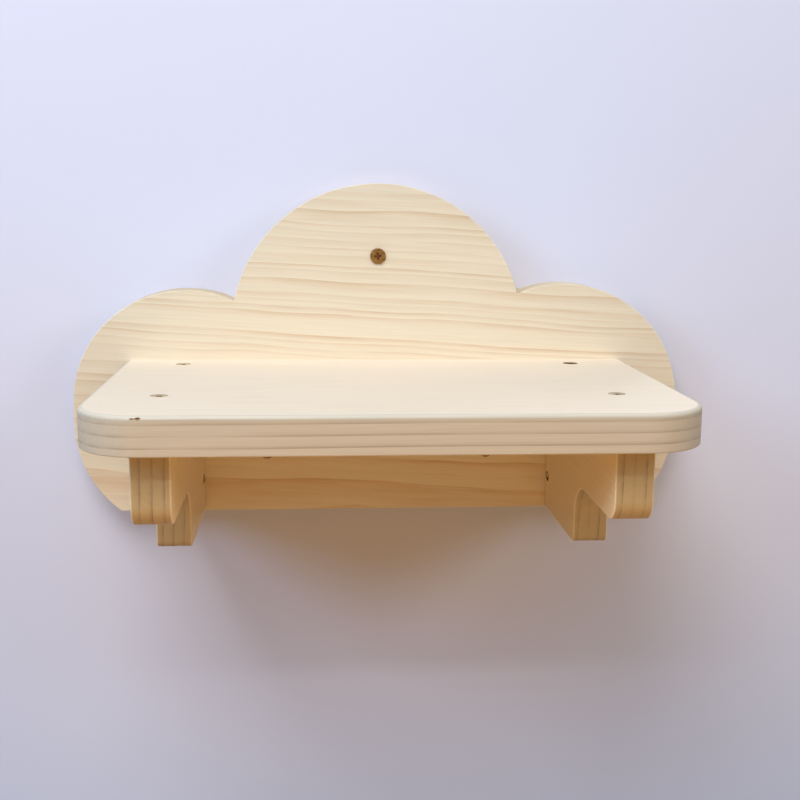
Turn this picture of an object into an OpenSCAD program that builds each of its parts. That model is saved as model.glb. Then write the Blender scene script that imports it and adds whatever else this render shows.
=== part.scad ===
// Cloud-backed wall shelf for a cat: four pine boards, the screws that hold them, and the wall fixings.
// Millimetres. +X to the right as seen from the room, +Y into the wall, +Z up.
// The origin lies on the wall's face, on the axis of the top wall screw.

/* [Back panel] */
// Thickness of the cloud-shaped panel
panel_t = 18; // [14:1:25]
// Overall width of the cloud
panel_w = 348; // [300:1:420]
// Overall height of the cloud
panel_h = 187.5; // [178:0.5:215]
// Radius of the dome in the middle
dome_r = 83; // [70:1:95]
// Height of the dome's top above the top wall screw
dome_rise = 40.5; // [25:0.5:50]
// Radius of the lobe on the left
left_lobe_r = 64.5; // [58:0.5:80]
// Radius of the lobe on the right, which is a little larger
right_lobe_r = 68.5; // [58:0.5:80]
// Drop from the dome's centre to the centre of a lobe's upper arc
lobe_drop = 41.5; // [35:0.5:55]
// Straight stretch of a lobe's side, between its upper and lower arcs
lobe_side = 12; // [4:1:24]
// How far the cloud's width is set to the right of the dome's middle
cloud_shift = 1.5; // [0:0.5:4]

/* [Shelf board] */
// Thickness of the shelf
shelf_t = 18; // [14:1:25]
// Width of the shelf
shelf_w = 283; // [250:1:320]
// Depth of the shelf in front of the panel
shelf_d = 175; // [150:1:220]
// Radius of the two front corners
corner_r = 31; // [10:1:45]
// Drop from the top wall screw to the shelf's top
shelf_fall = 59; // [50:1:70]

/* [Brackets] */
// Thickness of a bracket
bracket_t = 18; // [14:1:25]
// From the shelf's end to the outer face of a bracket
bracket_inset = 24; // [10:1:40]
// From the shelf's front edge to the front of a bracket
bracket_setback = 15; // [5:1:25]
// Depth of a bracket's front part below the shelf
nose_drop = 36; // [30:1:44]
// Radius of the front part's lower corner
nose_r = 11; // [3:1:16]
// Length of a bracket's deep rear part, out from the panel
heel_len = 78; // [60:1:95]
// Height of the rear part's foot above the panel's foot
heel_rise = 1; // [0:0.5:5]
// Radius of the rear part's lower corner
heel_r = 4; // [1:0.5:8]
// Radius of the hollow between the two parts
step_r = 18; // [6:1:24]

/* [Shelf screws] */
// Length of the screws from the shelf's top into the brackets
shelf_screw_len = 40; // [35:1:45]
// Diameter of their shank
shelf_screw_d = 4; // [3:0.5:5]
// Diameter of their head
shelf_head_d = 8; // [7:0.5:9]
// Depth of their heads below the shelf's top
shelf_sink = 0.2; // [0.1:0.1:3]
// Distance of the rear pair from the panel
rear_row = 17; // [10:1:30]
// Distance of the front pair from the panel
front_row = 122; // [100:1:135]

/* [Panel screws] */
// Length of the screws from behind the panel into the shelf and the brackets
panel_screw_len = 50; // [40:1:60]
// Diameter of their shank
panel_screw_d = 4; // [3:0.5:5]
// Diameter of their head
panel_head_d = 8; // [7:0.5:9]
// Depth of their heads below the panel's back
panel_sink = 0.5; // [0.2:0.1:3]
// From a bracket's middle to the outer screws in the shelf's rear edge
edge_inset = 36; // [24:1:70]
// From the tip of a shelf screw down to the screw in a bracket's rear end
crossing_gap = 9; // [6:1:14]

/* [Toe screws] */
// Length of the slanting screw at the foot of each bracket
toe_len = 25; // [20:1:28]
// Diameter of its shank
toe_d = 3; // [2.5:0.5:4]
// Diameter of its head
toe_head_d = 5.5; // [5:0.5:7]
// Slant of the screw away from the wall's normal, in degrees
toe_angle = 45; // [35:1:50]
// Distance of its pocket's middle from the panel
toe_reach = 6; // [5:0.5:9]
// Height of the screw above the panel's foot
toe_rise = 20; // [14:1:24]

/* [Wall fixings] */
// Length of a wall screw
wall_screw_len = 55; // [45:1:58]
// Diameter of its shank
wall_screw_d = 4.5; // [4:0.5:5]
// Diameter of its head
wall_head_d = 8.8; // [8:0.2:10]
// How far its head stands out of the panel
wall_head_proud = 1; // [0:0.1:1.5]
// From a bracket's inner face to the lower wall screw beside it
low_screw_inset = 36; // [15:1:60]
// Height of the lower wall screws above the panel's foot
low_screw_rise = 35; // [20:1:45]
// Diameter of a wall plug, and of the hole drilled for it
plug_d = 8; // [7:0.5:10]
// Length of a wall plug
plug_len = 40; // [36:1:50]
// Length of the plug's tapered nose
plug_nose = 6; // [2:1:10]
// Diameter of the plug's nose at its end
plug_tip_d = 6; // [5.5:0.1:6.8]

/* [Fits] */
// Play of a screw, across its diameter, in the board that it passes through
clearance = 0.4; // [0.2:0.1:0.8]
// Play of a thread, across its diameter, in the hole that it holds in
thread_play = 0.1; // [0.04:0.02:0.2]
// Room left beyond a screw's tip
tip_room = 1; // [0.5:0.5:3]

/* [Hidden] */
$fn = 64;

// Sides of the middle plane
left = -1;
middle = 0;
right = 1;

// How far a cut runs past the surface that it opens
overrun = 1;
// Thickness of a screw head's rim
head_rim = 0.5;
// Cross recess: span, arm and depth as shares of the head's diameter
span_share = 0.56;
arm_share = 0.15;
recess_share = 0.22;
// Length of a screw's point as a share of its shank's diameter
point_share = 1.6;

// Heights
shelf_top = -shelf_fall;
shelf_under = shelf_top - shelf_t;
panel_top = dome_rise;
panel_foot = panel_top - panel_h;
dome_z = dome_rise - dome_r;
lobe_high_z = dome_z - lobe_drop;
lobe_low_z = lobe_high_z - lobe_side;
bracket_screw_z = shelf_top - shelf_sink - shelf_screw_len - crossing_gap;
toe_z = panel_foot + toe_rise;
low_screw_z = panel_foot + low_screw_rise;

// Distances from the middle plane
function lobe_r(side) = side == left ? left_lobe_r : right_lobe_r;
function lobe_x(side) = cloud_shift + side * (panel_w / 2 - lobe_r(side));
cloud_left = cloud_shift - panel_w / 2;
bracket_x = shelf_w / 2 - bracket_inset - bracket_t / 2;
bracket_inner_x = bracket_x - bracket_t / 2;
edge_x = bracket_x - edge_inset;
low_screw_x = bracket_inner_x - low_screw_inset;

// Depths and lengths
panel_front = -panel_t;
bracket_len = shelf_d - bracket_setback;
heel_drop = shelf_under - panel_foot - heel_rise;
step_fillet = min(step_r, heel_drop - nose_drop - heel_r);
// The toe screw's head is drawn in from the bracket's face until half of it is sunk
toe_sink = toe_head_d / 2;

PINE = [0.93, 0.85, 0.72];
PINE_EDGE = [0.88, 0.78, 0.63];
BRONZE = [0.42, 0.31, 0.19];
GREY = [0.66, 0.67, 0.68];

// A wood screw along Z: the top of its head at zero, its point downwards.
module wood_screw(length, shank_d, head_d) {
    cone_h = (head_d - shank_d) / 2;
    difference() {
        rotate_extrude()
            polygon([
                [0, 0],
                [head_d / 2, 0],
                [head_d / 2, -head_rim],
                [shank_d / 2, -head_rim - cone_h],
                [shank_d / 2, -length + shank_d * point_share],
                [0, -length]
            ]);
        for (turn = [0, 90])
            rotate(turn)
                recess_arm(head_d * span_share, head_d * arm_share, head_d * recess_share);
    }
}

// One arm of a cross recess, open at the top.
module recess_arm(span, arm, depth) {
    translate([-span / 2, -arm / 2, -depth])
        cube([span, arm, depth + overrun]);
}

// The hole for a screw in the board that it passes through: countersunk, and open above the head.
module seat_cut(shank_d, head_d, sink, reach) {
    hole_r = (shank_d + clearance) / 2;
    mouth_r = (head_d + clearance) / 2;
    cone_h = (head_d - shank_d) / 2;
    rotate_extrude()
        polygon([
            [0, sink + overrun],
            [mouth_r, sink + overrun],
            [mouth_r, -head_rim],
            [hole_r, -head_rim - cone_h],
            [hole_r, -reach - overrun],
            [0, -reach - overrun]
        ]);
}

// The hole for a screw in the board that it holds in.
module pilot_cut(length, shank_d) {
    depth = length + tip_room;
    translate([0, 0, -depth])
        cylinder(h = depth, d = shank_d + thread_play);
}

// Places: each puts a screw's axis where it belongs.
module at_shelf_screw(side, row) {
    translate([side * bracket_x, panel_front - row, shelf_top - shelf_sink])
        children();
}

module at_edge_screw(side) {
    translate([side * edge_x, -panel_sink, shelf_top - shelf_t / 2])
        rotate([-90, 0, 0])
            children();
}

module at_bracket_screw(side) {
    translate([side * bracket_x, -panel_sink, bracket_screw_z])
        rotate([-90, 0, 0])
            children();
}

module at_toe_screw(side) {
    translate([side * bracket_inner_x, panel_front - toe_reach, toe_z])
        rotate([90, 0, -side * toe_angle])
            translate([0, 0, -toe_sink])
                children();
}

module at_wall_screw(side) {
    translate([side * low_screw_x, 0, side == middle ? 0 : low_screw_z])
        rotate([90, 0, 0])
            children();
}

// From the wall's face out to the top of a wall screw's head
module at_wall_head(side) {
    at_wall_screw(side)
        translate([0, 0, panel_t + wall_head_proud])
            children();
}

// Outlines
module cloud_outline() {
    intersection() {
        union() {
            translate([0, dome_z])
                circle(dome_r);
            for (side = [left, right])
                for (z = [lobe_high_z, lobe_low_z])
                    translate([lobe_x(side), z])
                        circle(lobe_r(side));
            translate([cloud_left, lobe_low_z])
                square([panel_w, lobe_side]);
            translate([lobe_x(left), panel_foot])
                square([lobe_x(right) - lobe_x(left), lobe_high_z - panel_foot]);
        }
        translate([cloud_left, panel_foot])
            square([panel_w, panel_top - panel_foot]);
    }
}

module shelf_outline() {
    corner_x = shelf_w / 2 - corner_r;
    front = panel_front - shelf_d;
    translate([-shelf_w / 2, front + corner_r])
        square([shelf_w, shelf_d - corner_r]);
    translate([-corner_x, front])
        square([2 * corner_x, corner_r]);
    for (side = [left, right])
        translate([side * corner_x, front + corner_r])
            circle(corner_r);
}

// A plate that hangs from the shelf, with its far lower corner rounded.
module hanging_plate(length, drop, radius) {
    translate([0, -drop + radius])
        square([length, drop - radius]);
    translate([0, -drop])
        square([length - radius, drop]);
    translate([length - radius, -drop + radius])
        circle(radius);
}

// A bracket seen from its side: along, out from the panel; up, from the shelf's underside.
module bracket_outline() {
    hanging_plate(bracket_len, nose_drop, nose_r);
    hanging_plate(heel_len, heel_drop, heel_r);
    difference() {
        translate([heel_len - overrun, -nose_drop - step_fillet])
            square([step_fillet + overrun, step_fillet + overrun]);
        translate([heel_len + step_fillet, -nose_drop - step_fillet])
            circle(step_fillet);
    }
}

// Sub-parts
module back_panel() {
    color(PINE)
        difference() {
            rotate([90, 0, 0])
                linear_extrude(panel_t)
                    cloud_outline();
            for (side = [left, middle, right]) {
                at_wall_head(side)
                    seat_cut(wall_screw_d, wall_head_d, 0, panel_t + wall_head_proud);
                at_edge_screw(side)
                    seat_cut(panel_screw_d, panel_head_d, panel_sink, panel_t);
            }
            for (side = [left, right]) {
                at_bracket_screw(side)
                    seat_cut(panel_screw_d, panel_head_d, panel_sink, panel_t);
                at_toe_screw(side)
                    pilot_cut(toe_len, toe_d);
            }
        }
}

module shelf_board() {
    color(PINE)
        difference() {
            translate([0, 0, shelf_under])
                linear_extrude(shelf_t)
                    shelf_outline();
            for (side = [left, right])
                for (row = [rear_row, front_row])
                    at_shelf_screw(side, row)
                        seat_cut(shelf_screw_d, shelf_head_d, shelf_sink, shelf_t);
            for (side = [left, middle, right])
                at_edge_screw(side)
                    pilot_cut(panel_screw_len, panel_screw_d);
        }
}

module bracket(side) {
    color(PINE_EDGE)
        difference() {
            translate([side * bracket_x, panel_front, shelf_under])
                rotate([90, 0, -90])
                    linear_extrude(bracket_t, center = true)
                        bracket_outline();
            for (row = [rear_row, front_row])
                at_shelf_screw(side, row)
                    pilot_cut(shelf_screw_len, shelf_screw_d);
            at_bracket_screw(side)
                pilot_cut(panel_screw_len, panel_screw_d);
            at_toe_screw(side)
                seat_cut(toe_d, toe_head_d, toe_head_d, toe_len);
        }
}

module shelf_screw(side, row) {
    color(BRONZE)
        at_shelf_screw(side, row)
            wood_screw(shelf_screw_len, shelf_screw_d, shelf_head_d);
}

module edge_screw(side) {
    color(BRONZE)
        at_edge_screw(side)
            wood_screw(panel_screw_len, panel_screw_d, panel_head_d);
}

module bracket_screw(side) {
    color(BRONZE)
        at_bracket_screw(side)
            wood_screw(panel_screw_len, panel_screw_d, panel_head_d);
}

module toe_screw(side) {
    color(BRONZE)
        at_toe_screw(side)
            wood_screw(toe_len, toe_d, toe_head_d);
}

module wall_screw(side) {
    color(BRONZE)
        at_wall_head(side)
            wood_screw(wall_screw_len, wall_screw_d, wall_head_d);
}

module wall_plug(side) {
    bore_r = (wall_screw_d + thread_play) / 2;
    color(GREY)
        at_wall_screw(side)
            rotate_extrude()
                polygon([
                    [bore_r, 0],
                    [plug_d / 2, 0],
                    [plug_d / 2, -plug_len + plug_nose],
                    [plug_tip_d / 2, -plug_len],
                    [bore_r, -plug_len]
                ]);
}

back_panel();
shelf_board();
bracket(left);  // bracket_left
bracket(right);  // bracket_right
shelf_screw(left, front_row);  // shelf_screw_front_left
shelf_screw(right, front_row);  // shelf_screw_front_right
shelf_screw(left, rear_row);  // shelf_screw_rear_left
shelf_screw(right, rear_row);  // shelf_screw_rear_right
edge_screw(left);  // edge_screw_left
edge_screw(middle);  // edge_screw_middle
edge_screw(right);  // edge_screw_right
bracket_screw(left);  // bracket_screw_left
bracket_screw(right);  // bracket_screw_right
toe_screw(left);  // toe_screw_left
toe_screw(right);  // toe_screw_right
wall_screw(middle);  // wall_screw_top
wall_screw(left);  // wall_screw_left
wall_screw(right);  // wall_screw_right
wall_plug(middle);  // wall_plug_top
wall_plug(left);  // wall_plug_left
wall_plug(right);  // wall_plug_right
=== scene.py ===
# %% [markdown]
# # A cloud-backed wall shelf for a cat
# Four pine boards make this shelf: a back panel cut as a cloud, a shelf board with rounded front corners,
# and two stepped brackets under it. Bronze-coloured countersunk screws hold the boards together and hold
# the panel to the wall. The solid model of all that is loaded first, as a frame that never moves. Each
# piece below is then modelled again in the same place, in metres, with what the solids lack: eased edges,
# grain, threads, barbs and small marks of making.

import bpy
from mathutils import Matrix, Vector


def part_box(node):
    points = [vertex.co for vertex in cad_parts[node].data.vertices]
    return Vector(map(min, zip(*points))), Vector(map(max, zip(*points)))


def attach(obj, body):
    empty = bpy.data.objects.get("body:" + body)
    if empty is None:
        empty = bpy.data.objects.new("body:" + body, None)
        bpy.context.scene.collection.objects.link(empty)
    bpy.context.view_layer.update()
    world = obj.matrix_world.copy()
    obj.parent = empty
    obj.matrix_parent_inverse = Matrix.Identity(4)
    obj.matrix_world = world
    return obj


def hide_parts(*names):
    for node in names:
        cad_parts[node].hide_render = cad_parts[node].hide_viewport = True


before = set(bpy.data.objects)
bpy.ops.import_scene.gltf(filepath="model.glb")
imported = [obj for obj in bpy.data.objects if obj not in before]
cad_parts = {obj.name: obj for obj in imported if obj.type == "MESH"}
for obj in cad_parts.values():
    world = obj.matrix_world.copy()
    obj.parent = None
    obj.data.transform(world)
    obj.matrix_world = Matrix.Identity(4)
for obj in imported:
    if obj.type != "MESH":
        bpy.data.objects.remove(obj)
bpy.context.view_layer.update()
MM = 0.001


def in_mm(corners):
    """Corners in metres as rounded millimetres, for printing."""
    return [[round(c / MM, 1) for c in corner] for corner in corners]


# %% [markdown]
# ## Camera
# The photograph looks at the shelf from a little left of its middle, from just under the top of the cloud,
# and down by about ten degrees. The numbers come from fitting a camera to the boards' edges in the
# photograph. A camera in Blender looks down its own -Z. So it is rolled a little first, then stood up by a
# right angle less the pitch, and last turned to the right by the yaw.

# %% Place the camera
import bpy
from math import asin, atan2, pi, radians
from mathutils import Matrix, Vector

scene = bpy.context.scene
scene.view_settings.view_transform = "Standard"
FOCAL_PX, IMAGE_PX = 1186.0, 800
YAW, PITCH, ROLL = 0.0737, 0.1708, 0.0078
CAMERA_MM = Vector((-36.6, -692.0, 33.9))

camera = bpy.data.objects.new("camera", bpy.data.cameras.new("camera"))
scene.collection.objects.link(camera)
scene.camera = camera
camera.data.lens = camera.data.sensor_width * FOCAL_PX / IMAGE_PX
camera.matrix_world = (
    Matrix.Translation(CAMERA_MM * MM)
    @ Matrix.Rotation(-YAW, 4, "Z")
    @ Matrix.Rotation(pi / 2 - PITCH, 4, "X")
    @ Matrix.Rotation(ROLL, 4, "Z")
)
print("lens", round(camera.data.lens, 2), "mm")

# %% [markdown]
# ## Colours and nodes
# Colours are written as they look on a screen, in hex. Blender's shaders count in linear light, so one
# function turns the one into the other. A second function adds a node with its settings, fixed inputs and
# links in a single call, which keeps each material short enough to read from top to bottom.

# %% Colour and node helpers
def linear(hex_colour):
    """A hex colour as linear red, green, blue and alpha."""
    shares = [int(hex_colour[i:i + 2], 16) / 255 for i in (1, 3, 5)]
    return [s / 12.92 if s <= 0.04045 else ((s + 0.055) / 1.055) ** 2.4 for s in shares] + [1.0]


def add(tree, kind, links=(), values=(), stops=(), **settings):
    """A new node. links and values are given per input name or number, and stops are (place, hex) pairs
    of a colour ramp."""
    node = tree.nodes.new("ShaderNode" + kind)
    for key, value in settings.items():
        setattr(node, key, value)
    for key, value in dict(values).items():
        node.inputs[key].default_value = value
    for key, socket in dict(links).items():
        tree.links.new(socket, node.inputs[key])
    for n, (place, hex_colour) in enumerate(stops):
        element = node.color_ramp.elements[n] if n < 2 else node.color_ramp.elements.new(place)
        element.position, element.color = place, linear(hex_colour)
    return node


def new_material(name):
    """An empty material and its node tree."""
    material = bpy.data.materials.new(name)
    material.use_nodes = True
    material.node_tree.nodes.clear()
    return material, material.node_tree


print("white is", linear("#ffffff"), "and mid grey", [round(c, 3) for c in linear("#808080")])

# %% [markdown]
# ## Pine
# The boards are planed pine without oil or varnish. A pine log grows a pale, wide ring of earlywood each
# spring and a narrow tan ring of latewood each summer. What a board shows depends on how it was cut from
# the log, so a painted stripe pattern would go wrong at every edge. Here the rings are a solid: the
# distance from the log's pith, divided by the ring's width, counts the rings, and each board only says
# where its pith lay. The front edge of the shelf, its top and its rounded corners then fit each other as
# they do in real wood. The eye sees soft tan lines of uneven strength, fibres along them, a dry and nearly
# matt surface, and cut edges that are a little darker than the planed faces. Where sandpaper, hands and
# paws have rubbed, along the eased edges, the same rings show in smoother wood, paler on the panel and the
# brackets. On the shelf that wood is greyer, which is painted shade that tones down the highlight on its
# eased edges.

# %% Growth rings
# How far, in mm along the log and across it, the rings take to stray, and a line to fade and come back
STRAY_ALONG, STRAY_ACROSS = 160, 45
FADE_ALONG, FADE_ACROSS = 70, 6


def ring_lines(tree, log, ring, uneven, crisp, wander):
    """How much latewood shows at each place in a log, from 0 to 1."""
    slow = add(tree, "VectorMath", {0: log.outputs[0]},
               {1: (1 / STRAY_ALONG, 1 / STRAY_ACROSS, 1 / STRAY_ACROSS)}, operation="MULTIPLY")
    stray = add(tree, "TexNoise", {"Vector": slow.outputs[0]}, {"Scale": 1.0, "Detail": 2.0})
    middle = add(tree, "VectorMath", {0: stray.outputs["Color"]}, {1: (0.5, 0.5, 0.5)},
                 operation="SUBTRACT")
    moved = add(tree, "VectorMath", {0: middle.outputs[0], 2: log.outputs[0]}, {1: (0, wander, wander)},
                operation="MULTIPLY_ADD")
    across = add(tree, "VectorMath", {0: moved.outputs[0]}, {1: (0, 1, 1)}, operation="MULTIPLY")
    radius = add(tree, "VectorMath", {0: across.outputs[0]}, operation="LENGTH")

    # Good years leave wide rings and poor years narrow ones
    steady = add(tree, "Math", {0: radius.outputs["Value"]}, {1: ring}, operation="DIVIDE")
    weather = add(tree, "TexNoise", {"W": steady.outputs[0]}, {"Scale": 0.45, "Detail": 1.0},
                  noise_dimensions="1D")
    gain = add(tree, "MapRange", {"Value": weather.outputs["Fac"]}, {"To Min": -uneven, "To Max": uneven})
    count = add(tree, "Math", {0: steady.outputs[0], 1: gain.outputs[0]}, operation="ADD")

    # Within a year the wood darkens slowly and then ends at once
    season = add(tree, "Math", {0: count.outputs[0]}, operation="FRACT")
    darkening = add(tree, "Math", {0: season.outputs[0]}, {1: crisp}, operation="POWER")
    ending = add(tree, "MapRange", {"Value": season.outputs[0]},
                 {"From Min": 0.92, "From Max": 1.0, "To Min": 1.0, "To Max": 0.0},
                 interpolation_type="SMOOTHSTEP")
    summer = add(tree, "Math", {0: darkening.outputs[0], 1: ending.outputs[0]}, operation="MULTIPLY")

    # Some years leave a stronger line than others, and a line fades and comes back along its length
    year = add(tree, "Math", {0: count.outputs[0]}, operation="FLOOR")
    luck = add(tree, "TexWhiteNoise", {"W": year.outputs[0]}, noise_dimensions="1D")
    strength = add(tree, "MapRange", {"Value": luck.outputs["Value"]}, {"To Min": 0.3})
    streaks = add(tree, "VectorMath", {0: log.outputs[0]},
                  {1: (1 / FADE_ALONG, 1 / FADE_ACROSS, 1 / FADE_ACROSS)}, operation="MULTIPLY")
    fade = add(tree, "TexNoise", {"Vector": streaks.outputs[0]}, {"Scale": 1.0, "Detail": 3.0})
    faded = add(tree, "MapRange", {"Value": fade.outputs["Fac"]},
                {"From Min": 0.3, "From Max": 0.65, "To Min": 0.2})
    weight = add(tree, "Math", {0: strength.outputs[0], 1: faded.outputs[0]}, operation="MULTIPLY")
    return add(tree, "Math", {0: weight.outputs[0], 1: summer.outputs[0]}, operation="MULTIPLY")


print("rings stray over", STRAY_ALONG, "mm along the log and", STRAY_ACROSS, "mm across it")

# %% Planed pine
# Fibres are finer than a pixel, so they are drawn this wide and long, in mm
FIBRE_WIDE, FIBRE_LONG = 0.7, 40


def pine(name, turn, pith, ring, uneven, crisp, wander, face, early, late, cut, polish=0):
    """Planed pine. turn brings the board's grain to X, and pith is how far the frame's origin then lies
    from the log's middle, in mm. ring is the width of a year's growth and wander how far it strays, in mm.
    uneven sets good years off from poor ones, in rings. crisp narrows the lines, and face is the normal of
    the wide faces. early, late and cut colour the two kinds of wood and, as a tint, the cut edges. polish
    is what rubbing has taken off the roughness."""
    material, tree = new_material(name)
    place = add(tree, "TexCoord")
    log = add(tree, "Mapping", {"Vector": place.outputs["Object"]},
              {"Location": pith, "Rotation": turn, "Scale": [1 / MM] * 3})
    line = ring_lines(tree, log, ring, uneven, crisp, wander)
    rings = add(tree, "MixRGB", {"Fac": line.outputs[0]}, {"Color1": linear(early), "Color2": linear(late)})

    thin = add(tree, "VectorMath", {0: log.outputs[0]},
               {1: (1 / FIBRE_LONG, 1 / FIBRE_WIDE, 1 / FIBRE_WIDE)}, operation="MULTIPLY")
    fibres = add(tree, "TexNoise", {"Vector": thin.outputs[0]},
                 {"Scale": 1.0, "Detail": 4.0, "Roughness": 0.6})
    shade = add(tree, "MapRange", {"Value": fibres.outputs["Fac"]},
                {"From Min": 0.3, "From Max": 0.7, "To Min": 0.94, "To Max": 1.03})
    fibred = add(tree, "VectorMath", {0: rings.outputs[0], 1: shade.outputs[0]}, operation="MULTIPLY")

    # Cut edges are rougher than the planed faces, and hold more shade
    toward = add(tree, "VectorMath", {0: place.outputs["Normal"]}, {1: face}, operation="DOT_PRODUCT")
    flat = add(tree, "Math", {0: toward.outputs["Value"]}, operation="ABSOLUTE")
    edge = add(tree, "MapRange", {"Value": flat.outputs[0]}, {"From Min": 0.85, "From Max": 0.25})
    sawn = add(tree, "MixRGB", {"Fac": edge.outputs[0], "Color1": fibred.outputs[0]},
               {"Color2": linear(cut)}, blend_type="MULTIPLY")

    gloss = add(tree, "MapRange", {"Value": fibres.outputs["Fac"]},
                {"From Min": 0.3, "From Max": 0.7, "To Min": 0.62 - polish, "To Max": 0.48 - polish})
    relief = add(tree, "Math", {0: fibres.outputs["Fac"], 1: line.outputs[0]}, operation="ADD")
    bump = add(tree, "Bump", {"Height": relief.outputs[0]}, {"Strength": 0.35, "Distance": 0.12 * MM})
    wood = add(tree, "BsdfPrincipled",
               {"Base Color": sawn.outputs[0], "Roughness": gloss.outputs[0], "Normal": bump.outputs[0]})
    add(tree, "OutputMaterial", {"Surface": wood.outputs[0]})
    return material


print("fibres are drawn", FIBRE_WIDE, "mm wide and", FIBRE_LONG, "mm long")

# %% The boards' own pine
X_AXIS, Y_AXIS, Z_AXIS = Vector((1, 0, 0)), Vector((0, 1, 0)), Vector((0, 0, 1))
# Per board: turn, pith, ring, uneven, crisp, wander and face, as pine() takes them
LOGS = {
    "panel": ((0, radians(-3), 0), (390, -60, 170), 4.8, 0.9, 1.7, 11, Y_AXIS),
    "shelf": ((0, radians(0.2), 0), (0, 105, -5932.95), 5.26, 0, 5, 1.8, Z_AXIS),
    "bracket_left": ((0, 0, radians(-90)), (0, -3098.7, 60), 5.4, 0, 6, 1.6, X_AXIS),
    "bracket_right": ((0, 0, radians(-90)), (0, -2893.3, 60), 5.4, 0, 6, 1.6, X_AXIS),
}
# Per kind of board: earlywood, latewood and the tint of cut edges
PLANED = {
    # The panel's cut tint is nearly white, as painted light that lifts its top edges where the dome shades
    # them
    "panel": ("#e9dac0", "#cea679", "#f5f0e6"),
    "shelf": ("#f2e4cf", "#7d5b38", "#d5d1ca"),
    # The brackets' pine is brighter and more orange than the other boards, as painted warm light under the
    # shelf
    "bracket": ("#f8e0b2", "#8a6238", "#bdb6a9"),
}
# Colours of the eased edges; the shelf's are greyer, as painted shade that dims the highlight on them
WORN_AND_SHADED = {
    # The panel's cut tint is nearly white here too, as painted light on its shaded top edges
    "panel": ("#eee3cd", "#d6b288", "#f8f4ec"),
    "shelf": ("#dcd2c0", "#8f6f4d", "#e2ded7"),
    # Brighter and warmer here too, as painted warm light under the shelf
    "bracket": ("#fae6c0", "#9a744a", "#cbc4b6"),
}
WORN_POLISH = 0.05

planed_and_worn = {}
for board, log in LOGS.items():
    kind = board.split("_")[0]
    planed_and_worn[board] = [pine("pine_planed_" + board, *log, *PLANED[kind]),
                              pine("pine_worn_and_shaded_" + board, *log, *WORN_AND_SHADED[kind], WORN_POLISH)]

# Where fibres are torn, in a drilled pocket or a chipped edge, the wood is rough and holds dirt
# The same dark pine also stands as painted shade on the brackets' back edges, in the joint by the panel
pine_torn_and_joint_shade = pine("pine_torn_fibres_and_joint_shade", (0, 0, 0), (0, 105, 60), 1.2, 0.5, 2, 2, Z_AXIS,
                 "#a07c4c", "#6a4a2b", "#d8d5ce")
print("pine materials:", [m.name for pair in planed_and_worn.values() for m in pair], pine_torn_and_joint_shade.name)

# %% [markdown]
# ## Bronzed steel
# The screws are steel with a thin bronze plating, made dull by tumbling in a drum. Up close the plating is
# uneven: yellow-brown on the rim, and a darker red-brown in the recess, which is painted shade there. A few
# screws are a darker bronze, which mirrors brown even at a flat angle; on the two low wall screws under the
# shelf that dark is painted shade. Most heads in the shelf's top have flats of a pale steel, which make
# their mirror of the pale panel brighter: a painted reflection. All are metals, so their colour sits in the
# reflection and not in a painted layer.

# %% Bronze plating
# The plating's patches and the grit that tumbling leaves on it, in mm
MOTTLE, GRIT = 1.5, 0.25


def bronze(name, light, dark, grazing="#ffffff"):
    """Tumbled bronze plating. grazing is the colour of what it mirrors at a flat angle."""
    material, tree = new_material(name)
    place = add(tree, "TexCoord")
    mottle = add(tree, "TexNoise", {"Vector": place.outputs["Object"]},
                 {"Scale": 1 / (MOTTLE * MM), "Detail": 3.0})
    colour = add(tree, "ValToRGB", {"Fac": mottle.outputs["Fac"]}, stops=[(0.3, dark), (0.7, light)])
    grit = add(tree, "TexNoise", {"Vector": place.outputs["Object"]},
               {"Scale": 1 / (GRIT * MM), "Detail": 2.0})
    gloss = add(tree, "MapRange", {"Value": mottle.outputs["Fac"]}, {"To Min": 0.2, "To Max": 0.38})
    bump = add(tree, "Bump", {"Height": grit.outputs["Fac"]}, {"Strength": 0.25, "Distance": 0.03 * MM})
    metal = add(tree, "BsdfPrincipled",
                {"Base Color": colour.outputs[0], "Roughness": gloss.outputs[0], "Normal": bump.outputs[0]},
                {"Metallic": 1.0, "Specular Tint": linear(grazing)})
    add(tree, "OutputMaterial", {"Surface": metal.outputs[0]})
    return material


bronze_plating = bronze("bronze_plated_steel", "#a87b45", "#82592d")
# Darker red-brown for the cross recess, as painted shade in it
bronze_recess_shade = bronze("bronze_recess_painted_shade", "#8a5530", "#5c381e")
# A darker bronze; on the two low wall screws under the shelf it is painted shade
bronze_darker = bronze("bronze_darker_plating", "#7a5a30", "#543a1c", "#a28448")
# A pale steel for the flats in the shelf's top, which makes their mirror of the panel brighter: painted
# reflection
steel_pale_reflection = bronze("steel_painted_bright_reflection", "#dccdb2", "#c4b08c")
print("metals:", bronze_plating.name, bronze_recess_shade.name, bronze_darker.name, steel_pale_reflection.name)

# %% [markdown]
# ## Nylon
# The wall plugs are moulded from grey nylon. It is matt where the mould was spark-eroded, with a faint
# sheen, and its grey is a little cloudy.

# %% Moulded nylon
# The clouds in the grey and the grain of the mould, in mm
CLOUDS, MOULD_GRAIN = 6, 0.3

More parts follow.
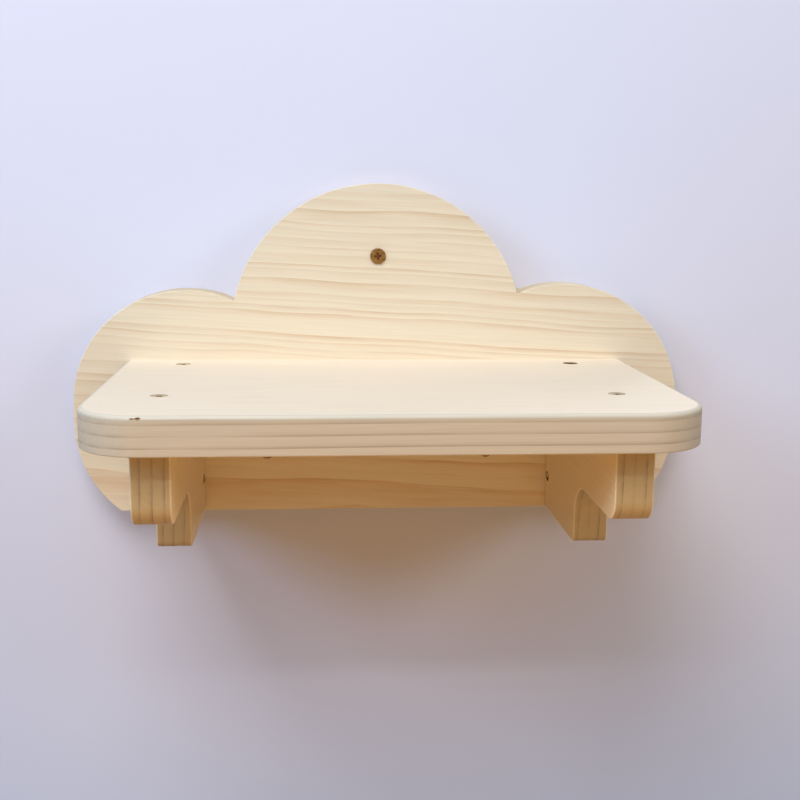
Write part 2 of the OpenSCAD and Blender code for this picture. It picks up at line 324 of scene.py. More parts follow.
nylon, tree = new_material("nylon_moulded_grey")
place = add(tree, "TexCoord")
cloudy = add(tree, "TexNoise", {"Vector": place.outputs["Object"]},
             {"Scale": 1 / (CLOUDS * MM), "Detail": 2.0})
colour = add(tree, "ValToRGB", {"Fac": cloudy.outputs["Fac"]}, stops=[(0.3, "#a2a5a8"), (0.7, "#b2b4b6")])
grain = add(tree, "TexNoise", {"Vector": place.outputs["Object"]},
            {"Scale": 1 / (MOULD_GRAIN * MM), "Detail": 2.0})
gloss = add(tree, "MapRange", {"Value": grain.outputs["Fac"]}, {"To Min": 0.42, "To Max": 0.58})
bump = add(tree, "Bump", {"Height": grain.outputs["Fac"]}, {"Strength": 0.2, "Distance": 0.04 * MM})
plastic = add(tree, "BsdfPrincipled",
              {"Base Color": colour.outputs[0], "Roughness": gloss.outputs[0], "Normal": bump.outputs[0]},
              {"IOR": 1.53})
add(tree, "OutputMaterial", {"Surface": plastic.outputs[0]})
print("nylon:", nylon.name)

# %% [markdown]
# ## Drawing a board's outline
# A joiner draws a board's outline with a rule and compasses, then saws along it. The same two moves are
# enough here: a vertex is extruded to the end of a straight line, or spun about a centre to leave an arc.
# The closed outline is filled, extruded by the board's thickness, and its outer edges are eased with a
# bevel, as sandpaper does. The faces that the bevel makes take the worn pine, greyer on the shelf as
# painted shade.

# %% Rule and compasses
import bmesh

ARC_STEP = radians(3)
FEWEST_STEPS = 4


def line_to(bm, vert, place):
    """Extrudes the outline's last vertex in a straight line."""
    end = bmesh.ops.extrude_vert_indiv(bm, verts=[vert])["verts"][0]
    end.co = place
    return end


def arc_round(bm, vert, centre, axis, angle):
    """Spins the outline's last vertex about a centre."""
    steps = max(FEWEST_STEPS, round(abs(angle) / ARC_STEP))
    last = bmesh.ops.spin(bm, geom=[vert], cent=centre, axis=axis, angle=angle, steps=steps)["geom_last"]
    return next(v for v in last if isinstance(v, bmesh.types.BMVert))


print("arcs are drawn in steps of", round(ARC_STEP * 180 / pi, 1), "degrees")

# %% Saw and sandpaper
WELD = 0.01 * MM
# Two directions count as the same when their dot product is above this
SAME_WAY = 0.99
# Places of the worn pine, greyer on the shelf as painted shade, and of the pine that paints joint shade
WORN_AND_SHADED_INDEX, JOINT_SHADE_INDEX = 1, 2


def saw_board(bm, thickness):
    """Fills the closed outline and gives it its thickness."""
    bmesh.ops.remove_doubles(bm, verts=bm.verts, dist=WELD)
    face = bmesh.ops.edgeloop_fill(bm, edges=bm.edges)["faces"]
    grown = bmesh.ops.extrude_face_region(bm, geom=face)["geom"]
    far_side = [v for v in grown if isinstance(v, bmesh.types.BMVert)]
    bmesh.ops.translate(bm, verts=far_side, vec=thickness)
    bmesh.ops.recalc_face_normals(bm, faces=bm.faces)


def rim(bm, face, keep=lambda place: True):
    """The edges round a board's wide faces, apart from those that keep() turns down."""
    wide = [f for f in bm.faces if abs(f.normal.dot(face)) > SAME_WAY]
    edges = {e for f in wide for e in f.edges}
    return [e for e in edges if keep((e.verts[0].co + e.verts[1].co) / 2)]


def ease_edges(bm, edges, radius):
    """Rounds these edges over, and gives them the board's worn material, greyer on the shelf as painted
    shade.
    """
    eased = bmesh.ops.bevel(bm, geom=edges, offset=radius, offset_type="OFFSET", segments=4, profile=0.5,
                            affect="EDGES", material=-1, clamp_overlap=True)["faces"]
    for face in eased:
        face.material_index = WORN_AND_SHADED_INDEX
    return eased


print("an eased edge has material", WORN_AND_SHADED_INDEX, "and a torn one", JOINT_SHADE_INDEX)

# %% [markdown]
# ## Screws
# All fourteen screws are alike, in four sizes: a flat head on a cone, a cross recess, a plain neck and a
# thread that runs down to the point. The body is a half-profile spun about the axis. The thread is a small
# triangle spun round and round while it moves down a little with each step. The recess is cut by two
# tapered blades with a boolean, since its arms have to cross inside the head. The thread is added after
# that, since a boolean may drop a shell that only overlaps the body. Each kind is modelled once, along Z
# with the top of the head at zero.

# %% Spinning and cutting
FINE_WELD = 0.001 * MM


def spun(bm, profile, steps):
    """Spins a profile of (radius, height) pairs, in mm, about Z into a closed solid."""
    chain = [bm.verts.new((profile[0][0] * MM, 0, profile[0][1] * MM))]
    for r, z in profile[1:]:
        chain.append(line_to(bm, chain[-1], (r * MM, 0, z * MM)))
    edges = {e for v in chain for e in v.link_edges}
    bmesh.ops.spin(bm, geom=chain + list(edges), cent=(0, 0, 0), axis=Z_AXIS, angle=2 * pi, steps=steps,
                   use_merge=True)
    bmesh.ops.remove_doubles(bm, verts=bm.verts, dist=FINE_WELD)
    bmesh.ops.recalc_face_normals(bm, faces=bm.faces)


def as_object(bm, name, materials):
    """The bmesh as an object with these materials."""
    mesh = bpy.data.meshes.new(name)
    bm.to_mesh(mesh)
    bm.free()
    for material in materials:
        mesh.materials.append(material)
    thing = bpy.data.objects.new(name, mesh)
    scene.collection.objects.link(thing)
    return thing


def cut_away(thing, cutters):
    """Cuts the cutters out of a thing for good, and clears them away."""
    for cutter in cutters:
        boolean = thing.modifiers.new("cut", "BOOLEAN")
        boolean.operation, boolean.solver, boolean.object = "DIFFERENCE", "EXACT", cutter
        boolean.material_mode = "TRANSFER"
    solid = thing.evaluated_get(bpy.context.evaluated_depsgraph_get())
    old, thing.data = thing.data, bpy.data.meshes.new_from_object(solid)
    thing.modifiers.clear()
    bpy.data.meshes.remove(old)
    for cutter in cutters:
        bpy.data.meshes.remove(cutter.data)


def smooth_over(mesh, angle):
    """Smooth shading that stops at edges sharper than the angle."""
    mesh.shade_smooth()
    mesh.set_sharp_from_angle(angle=angle)


print("spun shapes are welded within", FINE_WELD / MM, "mm")

# %% Screw sizes
# Length, shank and head across, in mm
SCREW_SIZES = {
    "shelf": (40, 4, 8),
    "edge": (50, 4, 8),
    "bracket": (50, 4, 8),
    "toe": (25, 3, 5.5),
    "wall": (55, 4.5, 8.8),
}
# The head's upright rim and its broken edge, and the ramps below the cone and below the neck, in mm
HEAD_RIM, HEAD_BREAK, CONE_RAMP, NECK_RAMP = 0.5, 0.12, 0.3, 0.4
# As shares of the shank's width: radius of neck and core, length of the point, pitch of the thread
NECK_SHARE, CORE_SHARE, POINT_SHARE, PITCH_SHARE = 0.44, 0.34, 1.6, 0.5
# As a share of the screw's length: the plain neck's
NECK_LENGTH_SHARE = 0.28
# Sides of the body, and steps in a turn of the thread
BODY_STEPS, TURN_STEPS = 32, 24


def screw_levels(length, shank, head):
    """The heights at which a screw's cone, its neck and its straight core end, in mm."""
    cone_end = -HEAD_RIM - (head - shank) / 2
    return cone_end, cone_end - NECK_LENGTH_SHARE * length, -length + POINT_SHARE * shank


for kind, size in SCREW_SIZES.items():
    print(kind, "screw: cone, neck and core end at", [round(level, 2) for level in screw_levels(*size)])

# %% Screw body
def screw_body(length, shank, head):
    """Head, neck, core and point of a screw."""
    cone_end, neck_end, core_end = screw_levels(length, shank, head)
    neck_r, core_r = NECK_SHARE * shank, CORE_SHARE * shank
    bm = bmesh.new()
    spun(bm, [(0, 0), (head / 2 - HEAD_BREAK, 0), (head / 2, -HEAD_BREAK), (head / 2, -HEAD_RIM),
              (shank / 2, cone_end), (neck_r, cone_end - CONE_RAMP), (neck_r, neck_end),
              (core_r, neck_end - NECK_RAMP), (core_r, core_end), (0, -length)], BODY_STEPS)
    return bm


print("a screw's body has", BODY_STEPS, "sides")

# %% Cross recess
# One arm of the recess: its length, width and height as shares of the head, with half the height inside it
RECESS_LONG, RECESS_WIDE, RECESS_HIGH = 0.56, 0.15, 0.44
# How much of the arm's length, width and depth is left at its floor
RECESS_FLOOR = (0.5, 0.75, 1)


def recess_blade(head, turn):
    """A cutter for one arm of the cross recess, tapered towards its floor."""
    bm = bmesh.new()
    bmesh.ops.create_cube(bm, size=1)
    bmesh.ops.scale(bm, verts=bm.verts,
                    vec=(RECESS_LONG * head * MM, RECESS_WIDE * head * MM, RECESS_HIGH * head * MM))
    bmesh.ops.scale(bm, verts=[v for v in bm.verts if v.co.z < 0], vec=RECESS_FLOOR)
    bmesh.ops.rotate(bm, verts=bm.verts, matrix=Matrix.Rotation(turn, 3, "Z"))
    # The blade leaves the darker bronze on the recess walls, as painted shade
    return as_object(bm, "recess_blade", [bronze_recess_shade])


print("an arm of the recess is", RECESS_LONG, "of the head long and", RECESS_HIGH / 2, "of it deep")

# %% Thread
# How far below the neck the thread starts, in mm, and how much of its width is left at the screw's tip
THREAD_START, TIP_LEFT = 0.5, 0.12
# The thread's root as a share of the core's radius, and half its foot as a share of the pitch
ROOT_SHARE, HALF_FOOT = 0.8, 0.22


def add_thread(bm, length, shank, head):
    """Adds a triangle of vertices spun down the core and drawn in towards the point."""
    neck_end, core_end = screw_levels(length, shank, head)[1:]
    pitch, top = PITCH_SHARE * shank, neck_end - THREAD_START
    root_r = ROOT_SHARE * CORE_SHARE * shank
    turns = (neck_end + length) / pitch - 1
    ridge = bmesh.new()
    corners = ((root_r, top), (shank / 2, top - HALF_FOOT * pitch), (root_r, top - 2 * HALF_FOOT * pitch))
    start = [ridge.verts.new((r * MM, 0, z * MM)) for r, z in corners]
    loop = [ridge.edges.new((start[i], start[i - 1])) for i in range(3)]
    bmesh.ops.spin(ridge, geom=start + loop, cent=(0, 0, 0), axis=Z_AXIS, angle=-2 * pi * turns,
                   steps=round(turns * TURN_STEPS), dvec=(0, 0, -pitch / TURN_STEPS * MM))
    bmesh.ops.holes_fill(ridge, edges=[e for e in ridge.edges if e.is_boundary])
    bmesh.ops.recalc_face_normals(ridge, faces=ridge.faces)
    for v in ridge.verts:
        past = (core_end * MM - v.co.z) / (POINT_SHARE * shank * MM)
        if past > 0:
            v.co.xy *= max(TIP_LEFT, 1 - past)
    thread = bpy.data.meshes.new("thread")
    ridge.to_mesh(thread)
    ridge.free()
    bm.from_mesh(thread)
    bpy.data.meshes.remove(thread)


print("a turn of thread has", TURN_STEPS, "steps")

# %% Screw patterns
SCREW_CREASE = radians(35)

screw_meshes = {}
for kind, (length, shank, head) in SCREW_SIZES.items():
    body = as_object(screw_body(length, shank, head), "screw_pattern_" + kind, [bronze_plating])
    cut_away(body, [recess_blade(head, 0), recess_blade(head, pi / 2)])
    bm = bmesh.new()
    bm.from_mesh(body.data)
    add_thread(bm, length, shank, head)
    bm.to_mesh(body.data)
    bm.free()
    smooth_over(body.data, SCREW_CREASE)
    screw_meshes[kind] = body.data
    bpy.data.objects.remove(body)
print("screw faces:", {k: len(m.polygons) for k, m in screw_meshes.items()})

# %% [markdown]
# ## Where each screw goes
# Each screw's place is read from the box of its solid, so it can't drift from the frame. A straight screw's
# head is at one end of the box and its axis runs through the middle. A slanting toe screw's tip lies on the
# far corner of its box, so its place is measured back from there.

# %% Screw axes
def screw_axis(node):
    """The matrix that takes a screw from its pattern to its place, for one solid's name."""
    lo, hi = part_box(node)
    mid = (lo + hi) / 2
    if node.startswith("shelf"):
        return Matrix.Translation((mid.x, mid.y, hi.z))
    if node.startswith("wall"):
        return Matrix.Translation((mid.x, lo.y, mid.z)) @ Matrix.Rotation(pi / 2, 4, "X")
    if node.startswith("toe"):
        side = 1 if mid.x > 0 else -1
        tip = Vector((hi.x if side > 0 else lo.x, hi.y, mid.z))
        turn = Matrix.Rotation(-side * pi / 4, 4, "Z") @ Matrix.Rotation(pi / 2, 4, "X")
        return Matrix.Translation(tip + turn @ Z_AXIS * SCREW_SIZES["toe"][0] * MM) @ turn
    return Matrix.Translation((mid.x, hi.y, mid.z)) @ Matrix.Rotation(-pi / 2, 4, "X")


screw_nodes = [n for n in sorted(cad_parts) if "screw" in n]
axes = {n: screw_axis(n) for n in screw_nodes}
for node in screw_nodes:
    print(node, "head at", in_mm([axes[node].translation])[0])

# %% Put the screws in
# Three screws are a darker bronze, and the one of them in the shelf's top has no pale flat. On the two
# low wall screws under the shelf, that dark is painted shade
DARKER_SCREWS = ("shelf_screw_rear_right", "wall_screw_left", "wall_screw_right")
# How far the driver left the first recess turned, and each next one further
FIRST_TURN, NEXT_TURN = radians(25), radians(40)


def fit_piece(thing, node):
    """The thing takes a solid's place in the frame."""
    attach(thing, "root")
    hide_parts(node)


def brighten_flat_reflection(mesh):
    """Gives the flat of a screw's head a pale steel, a painted brightening of its reflection."""
    mesh.materials.append(steel_pale_reflection)
    for face in mesh.polygons:
        if face.normal.z > SAME_WAY and face.center.z > -WELD:
            face.material_index = len(mesh.materials) - 1


for n, node in enumerate(screw_nodes):
    mesh = screw_meshes[node.split("_")[0]].copy()
    if node in DARKER_SCREWS:
        mesh.materials[0] = bronze_darker
    elif node.startswith("shelf"):
        brighten_flat_reflection(mesh)
    mesh.transform(axes[node] @ Matrix.Rotation(FIRST_TURN + NEXT_TURN * n, 4, "Z"))
    screw = bpy.data.objects.new("bronze_" + node, mesh)
    scene.collection.objects.link(screw)
    fit_piece(screw, node)
print("screws:", len(screw_nodes))

# %% [markdown]
# ## Holes
# A joiner drills before driving a screw: a clear, countersunk hole in the board that the screw passes
# through, and a thinner one in the board that it holds in. Both are spun cutters, put on the screw's own
# axis and cut out of the board once its edges are eased. The slanting pockets of the toe screws tear the
# fibres, so they leave torn pine on their walls.

# %% Drills
# How much wider than the screw a clear hole is and a tight one, and how far a cutter runs past, in mm
CLEAR, PLAY, PAST = 0.4, 0.1, 1
# Per kind of screw: how far the clear hole is open above the head, and how deep it reaches below, in mm
CLEAR_HOLES = {
    "wall": (0, 21),
    "edge": (0.5, 19),
    "bracket": (0.5, 19),
    "shelf": (0.2, 20),
    "toe": (5.5, 26),
}
CLEAR_STEPS, PILOT_STEPS = 48, 32


def drill(node, profile, steps, lining=()):
    """A spun cutter on a screw's axis. lining is the material of the hole's wall, if not the board's."""
    bm = bmesh.new()
    spun(bm, profile, steps)
    bmesh.ops.transform(bm, matrix=axes[node], verts=bm.verts)
    return as_object(bm, "drill", lining)


def countersink(node, lining=()):
    """A cutter for the hole that a screw passes through."""
    kind = node.split("_")[0]
    shank, head = SCREW_SIZES[kind][1:]
    above, reach = CLEAR_HOLES[kind]
    hole_r, mouth_r = (shank + CLEAR) / 2, (head + CLEAR) / 2
    profile = [(0, above + PAST), (mouth_r, above + PAST), (mouth_r, -HEAD_RIM),
               (hole_r, -HEAD_RIM - (head - shank) / 2), (hole_r, -reach), (0, -reach)]
    return drill(node, profile, CLEAR_STEPS, lining)


def pilot(node):
    """A cutter for the hole that a screw holds in."""
    length, shank = SCREW_SIZES[node.split("_")[0]][:2]
    hole_r, deep = (shank + PLAY) / 2, -length - PAST
    return drill(node, [(0, -PAST), (hole_r, -PAST), (hole_r, deep), (0, deep)], PILOT_STEPS)


def screws_of(*kinds):
    """The names of the screws of these kinds."""
    return [n for n in screw_nodes if n.startswith(kinds)]


print("clear holes for", len(CLEAR_HOLES), "kinds of screw")

# %% Finishing a board
BOARD_CREASE = radians(40)


def finish_board(bm, name, node, materials, cutters):
    """A sawn board with its holes drilled and its shading set, in its solid's place."""
    board = as_object(bm, name, materials)
    cut_away(board, cutters)
    smooth_over(board.data, BOARD_CREASE)
    even = board.modifiers.new("even_flats", "WEIGHTED_NORMAL")
    even.keep_sharp = True
    fit_piece(board, node)
    faces = board.data.polygons
    worn = sum(f.area for f in faces if f.material_index == WORN_AND_SHADED_INDEX) / sum(f.area for f in faces)
    print(name, "faces", len(faces), "worn share", round(worn, 3),
          "box mm", in_mm([board.bound_box[0], board.bound_box[6]]))


print("boards are shaded smooth up to", round(BOARD_CREASE * 180 / pi), "degrees")

# %% [markdown]
# ## Back panel
# The cloud is one dome between two lobes, flat along the foot. The right lobe is a little larger than the
# left, as if the saw had followed a drawing by hand. Each half is drawn from the dome's top round to the
# notch, round the lobe, down its short straight side, round again to the foot and back to the middle. The
# notch is where the two circles cross, which Blender's geometry module works out.

# %% Cloud
from mathutils.geometry import intersect_sphere_sphere_2d

panel_lo, panel_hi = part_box("back_panel")
DOME_R, LOBE_DROP, LOBE_SIDE = 83 * MM, 41.5 * MM, 12 * MM
LEFT_LOBE_R, RIGHT_LOBE_R = 64.5 * MM, 68.5 * MM
PANEL_EASE = 0.4 * MM
dome = Vector((0, panel_hi.z - DOME_R))
front = panel_lo.y

bm = bmesh.new()
for side, end, lobe_r in ((-1, panel_lo.x, LEFT_LOBE_R), (1, panel_hi.x, RIGHT_LOBE_R)):
    about = side * Y_AXIS
    lobe = Vector((end - side * lobe_r, dome.y - LOBE_DROP))
    low = lobe.y - LOBE_SIDE
    crossings = intersect_sphere_sphere_2d(dome, DOME_R, lobe, lobe_r)
    notch = max(crossings, key=lambda crossing: crossing.y)
    pen = bm.verts.new((0, front, panel_hi.z))
    pen = arc_round(bm, pen, (0, front, dome.y), about, atan2(abs(notch.x), notch.y - dome.y))
    pen = arc_round(bm, pen, (lobe.x, front, lobe.y), about,
                    pi / 2 - atan2(side * (notch.x - lobe.x), notch.y - lobe.y))
    pen = line_to(bm, pen, (end, front, low))
    pen = arc_round(bm, pen, (lobe.x, front, low), about, asin((low - panel_lo.z) / lobe_r))
    pen = line_to(bm, pen, (0, front, panel_lo.z))
saw_board(bm, Y_AXIS * (panel_hi.y - panel_lo.y))
ease_edges(bm, rim(bm, Y_AXIS), PANEL_EASE)

finish_board(
    bm, "pine_cloud_panel", "back_panel", planed_and_worn["panel"],
    [countersink(n) for n in screws_of("wall")]
    + [countersink(n) for n in screws_of("edge", "bracket")]
    + [pilot(n) for n in screws_of("toe")])

# %% [markdown]
# ## Shelf board
# The shelf is a plain board with two rounded front corners. Its two halves are alike, so one is drawn and
# then mirrored. The top edge is eased more than any other, because a cat lies on it, and the lower edge
# only a little. The back isn't eased, so it meets the panel in a tight line. On the front edge, near the
# left corner, a knock has left two small chips beside each other. They are cubes with drawn-in ends, cut
# out with a boolean, and show torn fibres.

# %% Chips
# Where the chips are, in mm: along X, in from the front and down from the top. Then their size and turn.
CHIPS = (
    ((-113.7, 0.35, 1.1), (3.4, 0.8, 0.6), radians(25)),
    ((-111.0, 0.4, 1.0), (2.6, 1.3, 1.2), radians(40)),
)
# A chip's share of its depth and height at its middle, and what a length away from there would take off
CHIP_MIDDLE, CHIP_TAPER = 1.1, 1.6
shelf_lo, shelf_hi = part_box("shelf_board")


def chip(place, size, turn):
    """A cutter for a small chip, size mm long, deep and high, with drawn-in ends."""
    bm = bmesh.new()
    bmesh.ops.create_cube(bm, size=1)
    long_edges = [e for e in bm.edges if e.verts[0].co.x * e.verts[1].co.x < 0]
    bmesh.ops.subdivide_edges(bm, edges=long_edges, cuts=3)
    for v in bm.verts:
        v.co.yz *= CHIP_MIDDLE - CHIP_TAPER * abs(v.co.x)
    bmesh.ops.scale(bm, verts=bm.verts, vec=[c * MM for c in size])
    bmesh.ops.rotate(bm, verts=bm.verts, matrix=Matrix.Rotation(turn, 3, "X"))
    along, inwards, down = place
    bmesh.ops.translate(bm, verts=bm.verts,
                        vec=(along * MM, shelf_lo.y + inwards * MM, shelf_hi.z - down * MM))
    return as_object(bm, "chip", [pine_torn_and_joint_shade])


print("chips:", len(CHIPS))

# %% Shelf
CORNER_R = 31 * MM
TOP_EASE, LOWER_EASE = 2.2 * MM, 0.7 * MM
shelf_middle = (shelf_lo.z + shelf_hi.z) / 2


def shelf_rim(bm, upper):
    """The edges round the shelf's upper or lower face, apart from those at the back."""
    return rim(bm, Z_AXIS, lambda place: place.y < shelf_hi.y - MM and (place.z > shelf_middle) == upper)


bm = bmesh.new()
pen = bm.verts.new((0, shelf_lo.y, shelf_lo.z))
pen = line_to(bm, pen, (shelf_hi.x - CORNER_R, shelf_lo.y, shelf_lo.z))
pen = arc_round(bm, pen, (shelf_hi.x - CORNER_R, shelf_lo.y + CORNER_R, shelf_lo.z), Z_AXIS, pi / 2)
pen = line_to(bm, pen, (shelf_hi.x, shelf_hi.y, shelf_lo.z))
pen = line_to(bm, pen, (0, shelf_hi.y, shelf_lo.z))
bmesh.ops.mirror(bm, geom=bm.verts[:] + bm.edges[:], matrix=Matrix.Identity(4), merge_dist=WELD, axis="X")
saw_board(bm, Z_AXIS * (shelf_hi.z - shelf_lo.z))
ease_edges(bm, shelf_rim(bm, True), TOP_EASE)
ease_edges(bm, shelf_rim(bm, False), LOWER_EASE)

finish_board(
    bm, "pine_shelf_plank", "shelf_board", planed_and_worn["shelf"],
    [countersink(n) for n in screws_of("shelf")]
    + [pilot(n) for n in screws_of("edge")]
    + [chip(*facts) for facts in CHIPS])

# %% [markdown]
# ## Brackets
# A bracket is a board on edge. Its front part is shallow, its rear part goes down to the panel's foot, and
# a hollow curve joins the two, so a stress line never meets a sharp inner corner. The top stays square,
# because the shelf lies on it. The eased edges at the back leave a groove beside the panel, and their faces
# take the dark torn pine, as painted shade that draws a thin dark line in the joint.

# %% Brackets
NOSE_DROP, NOSE_R, HEEL_LEN, HEEL_R, STEP_R = 36 * MM, 11 * MM, 78 * MM, 4 * MM, 18 * MM
BRACKET_EASE = 0.8 * MM
for side in ("left", "right"):
    lo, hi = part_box("bracket_" + side)
    nose, heel = hi.z - NOSE_DROP, hi.y - HEEL_LEN
    bm = bmesh.new()
    pen = bm.verts.new((lo.x, hi.y, hi.z))
    pen = line_to(bm, pen, (lo.x, lo.y, hi.z))
    pen = line_to(bm, pen, (lo.x, lo.y, nose + NOSE_R))
    pen = arc_round(bm, pen, (lo.x, lo.y + NOSE_R, nose + NOSE_R), X_AXIS, pi / 2)
    pen = line_to(bm, pen, (lo.x, heel - STEP_R, nose))
    pen = arc_round(bm, pen, (lo.x, heel - STEP_R, nose - STEP_R), X_AXIS, -pi / 2)
    pen = line_to(bm, pen, (lo.x, heel, lo.z + HEEL_R))
    pen = arc_round(bm, pen, (lo.x, heel + HEEL_R, lo.z + HEEL_R), X_AXIS, pi / 2)
    pen = line_to(bm, pen, (lo.x, hi.y, lo.z))
    pen = line_to(bm, pen, (lo.x, hi.y, hi.z))
    saw_board(bm, X_AXIS * (hi.x - lo.x))
    for face in ease_edges(bm, rim(bm, X_AXIS, lambda place: place.z < hi.z - 0.1 * MM), BRACKET_EASE):
        # The eased faces at the back, beside the panel, take the dark pine as painted shade in the joint
        if face.calc_center_median().y > hi.y - BRACKET_EASE:
            face.material_index = JOINT_SHADE_INDEX
    own = [n for n in screw_nodes if n.endswith(side)]
    finish_board(
        bm, "pine_bracket_" + side, "bracket_" + side,
        planed_and_worn["bracket_" + side] + [pine_torn_and_joint_shade],
        [pilot(n) for n in own if n.startswith(("shelf", "bracket"))]
        + [countersink(n, [pine_torn_and_joint_shade]) for n in own if n.startswith("toe")])

# %% [markdown]
# ## Wall plugs
# A plug is a nylon tube that a screw spreads in its hole. Rings of barbs round it grip the wall, and two
# crossed slits let it open. The ringed wall is a profile spun about the axis, and two blades cut the slits.

# %% Plug shape
# Radii and lengths in mm
PLUG_LEN, PLUG_R, TIP_R, BORE_R = 40, 4, 3, 2.3
COLLAR_LEN, MOUTH_BREAK, TIP_BREAK = 3.5, 0.2, 0.3
SHOULDER_R, STRAIGHT_LEN = 3.7, 34
BARB_ROOT_R, BARB_LEN = 3.5, 2.6
BARB_STARTS = range(5, 32, 3)
SLIT_WIDE, SLIT_LONG, SLIT_MIDDLE = 1.1, 26, 22
SLIT_TURNS = (pi / 4, pi / 2 + pi / 4)

barbs = [point for start in BARB_STARTS for point in ((BARB_ROOT_R, -start), (PLUG_R, -start - BARB_LEN))]
plug_profile = [
    (BORE_R, 0), (PLUG_R - MOUTH_BREAK, 0), (PLUG_R, -MOUTH_BREAK), (PLUG_R, -COLLAR_LEN), *barbs,
    (SHOULDER_R, -STRAIGHT_LEN), (TIP_R, -PLUG_LEN + TIP_BREAK), (TIP_R - TIP_BREAK, -PLUG_LEN),
    (BORE_R, -PLUG_LEN), (BORE_R, 0),
]


def slit_blade(turn):
    """A cutter for one slit, right through the plug."""
    blade = bmesh.new()
    bmesh.ops.create_cube(blade, size=1)
    bmesh.ops.scale(blade, verts=blade.verts, vec=(3 * PLUG_R * MM, SLIT_WIDE * MM, SLIT_LONG * MM))
    bmesh.ops.translate(blade, verts=blade.verts, vec=(0, 0, -SLIT_MIDDLE * MM))
    bmesh.ops.rotate(blade, verts=blade.verts, matrix=Matrix.Rotation(turn, 3, "Z"))
    return as_object(blade, "slit_blade", [])


print("barbs on a plug:", len(BARB_STARTS))

# %% Plugs
PLUG_STEPS, PLUG_CREASE = 40, radians(25)

for node in [n for n in sorted(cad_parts) if n.startswith("wall_plug")]:
    lo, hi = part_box(node)
    bm = bmesh.new()
    spun(bm, plug_profile, PLUG_STEPS)
    plug = as_object(bm, "nylon_" + node, [nylon])
    cut_away(plug, [slit_blade(turn) for turn in SLIT_TURNS])
    mouth = Vector(((lo.x + hi.x) / 2, lo.y, (lo.z + hi.z) / 2))
    plug.data.transform(Matrix.Translation(mouth) @ Matrix.Rotation(pi / 2, 4, "X"))
    smooth_over(plug.data, PLUG_CREASE)
    fit_piece(plug, node)
    print(plug.name, "faces", len(plug.data.polygons))

# %% [markdown]
# ## Backdrop
# The shelf hangs on a painted wall, which also catches its shadow, so the wall stands just behind the
# panel. Seen from behind, it lets the camera through, and it never stands in the light's way, because the
# back of the part has to be visible too. The floor is plain and far below. The lamps near the part hardly
# reach it, so it glows a little.

# %% Wall and floor
# The sheets' width, the middle of the wall and the floor's height, in metres
SHEET, WALL_MIDDLE, FLOOR_LEVEL = 6, (0, 0.4 * MM, 1.0), -1.1


def painted(name, colour, nap, glow):
    """Matt emulsion from a roller, open when seen from behind. nap is the roller's pattern in mm, and glow
    stands for the light of a whole room that a few lamps near the part don't give."""
    material, tree = new_material(name)
    place = add(tree, "TexCoord")
    roller = add(tree, "TexNoise", {"Vector": place.outputs["Object"]},
                 {"Scale": 1 / (nap * MM), "Detail": 2.0})
    bump = add(tree, "Bump", {"Height": roller.outputs["Fac"]}, {"Strength": 0.1, "Distance": 0.1 * MM})
    paint = add(tree, "BsdfPrincipled", {"Normal": bump.outputs[0]},
                {"Base Color": linear(colour), "Roughness": 0.9, "Specular IOR Level": 0.2,
                 "Emission Color": linear(colour), "Emission Strength": glow})
    behind = add(tree, "NewGeometry")
    nothing = add(tree, "BsdfTransparent")
    either = add(tree, "MixShader",
                 {0: behind.outputs["Backfacing"], 1: paint.outputs[0], 2: nothing.outputs[0]})
    add(tree, "OutputMaterial", {"Surface": either.outputs[0]})
    return material


def backdrop(name, matrix, material):
    """A flat sheet of scenery that doesn't stand in the light's way."""
    bm = bmesh.new()
    bmesh.ops.create_grid(bm, x_segments=8, y_segments=8, size=SHEET / 2)
    bmesh.ops.transform(bm, matrix=matrix, verts=bm.verts)
    sheet = as_object(bm, name, [material])
    sheet.visible_shadow = sheet.visible_diffuse = False
    return sheet


wall = backdrop("wall", Matrix.Translation(WALL_MIDDLE) @ Matrix.Rotation(pi / 2, 4, "X"),
                painted("emulsion_wall", "#e2e3f5", 2.5, 0))
floor = backdrop("floor", Matrix.Translation((0, 0, FLOOR_LEVEL)),
                 painted("emulsion_floor", "#e6e4e4", 4, 0.42))
print("wall faces", wall.data.polygons[0].normal, "floor faces", floor.data.polygons[0].normal)

# %% [markdown]
# ## Light
# Most of the light falls steeply from a wide lamp above and to the left, as in a room, and draws the long
# soft shade under the shelf. A long tube, parallel to the wall, casts the crisper shadow: its level edge is
# sharp because the tube is thin, and its ends are soft because the tube is long. Weaker lamps at the sides
# lift the ends, the left one cool like a window. A small warm one below shines upwards and stands for what
# a wooden floor sends back under the shelf. A lamp behind the wall is for views of the back, and the world
# fills the rest evenly.

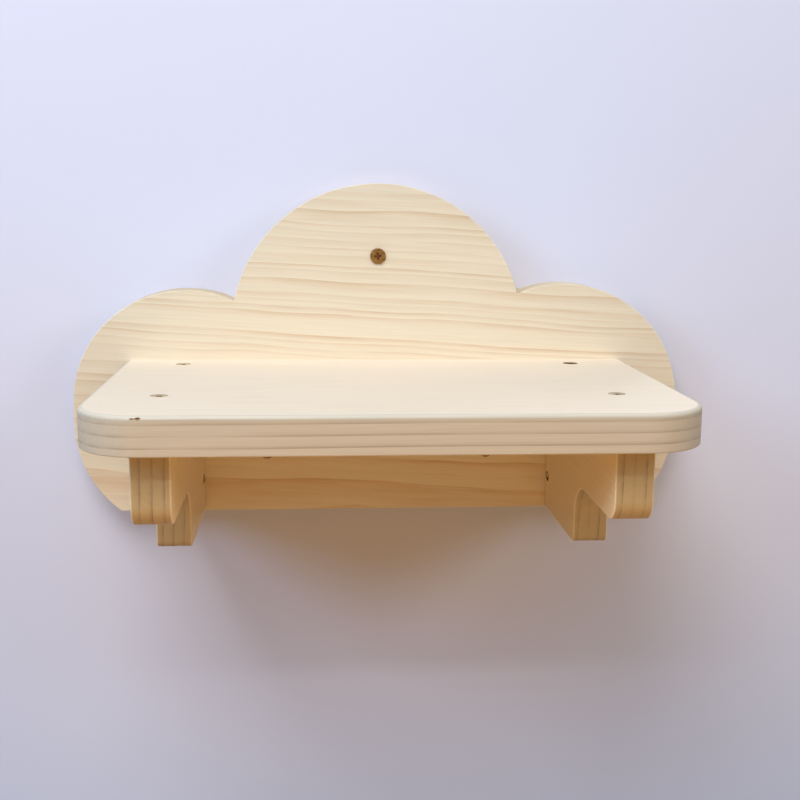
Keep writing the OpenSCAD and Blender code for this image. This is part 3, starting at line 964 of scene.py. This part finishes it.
# %% Lamps
PART_MIDDLE = (0, -0.1, -0.06)


def lamp(name, place, aim, size, watts, colour):
    """A flat lamp, size metres wide and high, that looks at a point."""
    light = bpy.data.lights.new(name, "AREA")
    light.shape, light.energy, light.color = "ELLIPSE", watts, linear(colour)[:3]
    light.size, light.size_y = size
    thing = bpy.data.objects.new(name, light)
    scene.collection.objects.link(thing)
    turn = (Vector(aim) - Vector(place)).to_track_quat("-Z", "Y")
    thing.matrix_world = Matrix.Translation(place) @ turn.to_matrix().to_4x4()


lamp("above", (-0.4, -0.9, 1.18), PART_MIDDLE, (1.0, 0.8), 14.8, "#ffffff")
lamp("tube", (-0.26, -1.0, 0.666), (-0.26, -0.1, -0.06), (1.65, 0.05), 2.6, "#ffffff")
lamp("side_left", (-1.4, -0.8, 0.6), PART_MIDDLE, (0.8, 0.8), 11.5, "#c0ddff")
lamp("side_right", (1.4, -0.8, 0.6), PART_MIDDLE, (0.8, 0.8), 7.1, "#ffffff")
lamp("floor_glow", (0, -0.33, -0.26), (0, -0.2, 0), (0.5, 0.2), 0.42, "#ffb412")
lamp("rear", (0.4, 1.3, 0.05), (0, 0, -0.05), (1.0, 1.0), 7, "#ffffff")

# %% World
world = bpy.data.worlds.new("studio")
scene.world = world
world.use_nodes = True
tree = world.node_tree
tree.nodes.clear()
# What is seen directly, in a mirror or through a sheet is a pale room, and all else gets a faint fill
ray = add(tree, "LightPath")
direct = add(tree, "Math", {0: ray.outputs["Is Camera Ray"], 1: ray.outputs["Is Glossy Ray"]},
             operation="MAXIMUM")
seen = add(tree, "Math", {0: direct.outputs[0], 1: ray.outputs["Is Transmission Ray"]}, operation="MAXIMUM")
fill = add(tree, "Background", values={"Color": linear("#fffbf6"), "Strength": 0.14})
pale = add(tree, "Background", values={"Color": linear("#e9eaf1"), "Strength": 1.0})
both = add(tree, "MixShader", {0: seen.outputs[0], 1: fill.outputs[0], 2: pale.outputs[0]})
add(tree, "OutputWorld", {"Surface": both.outputs[0]})
print("world:", world.name)
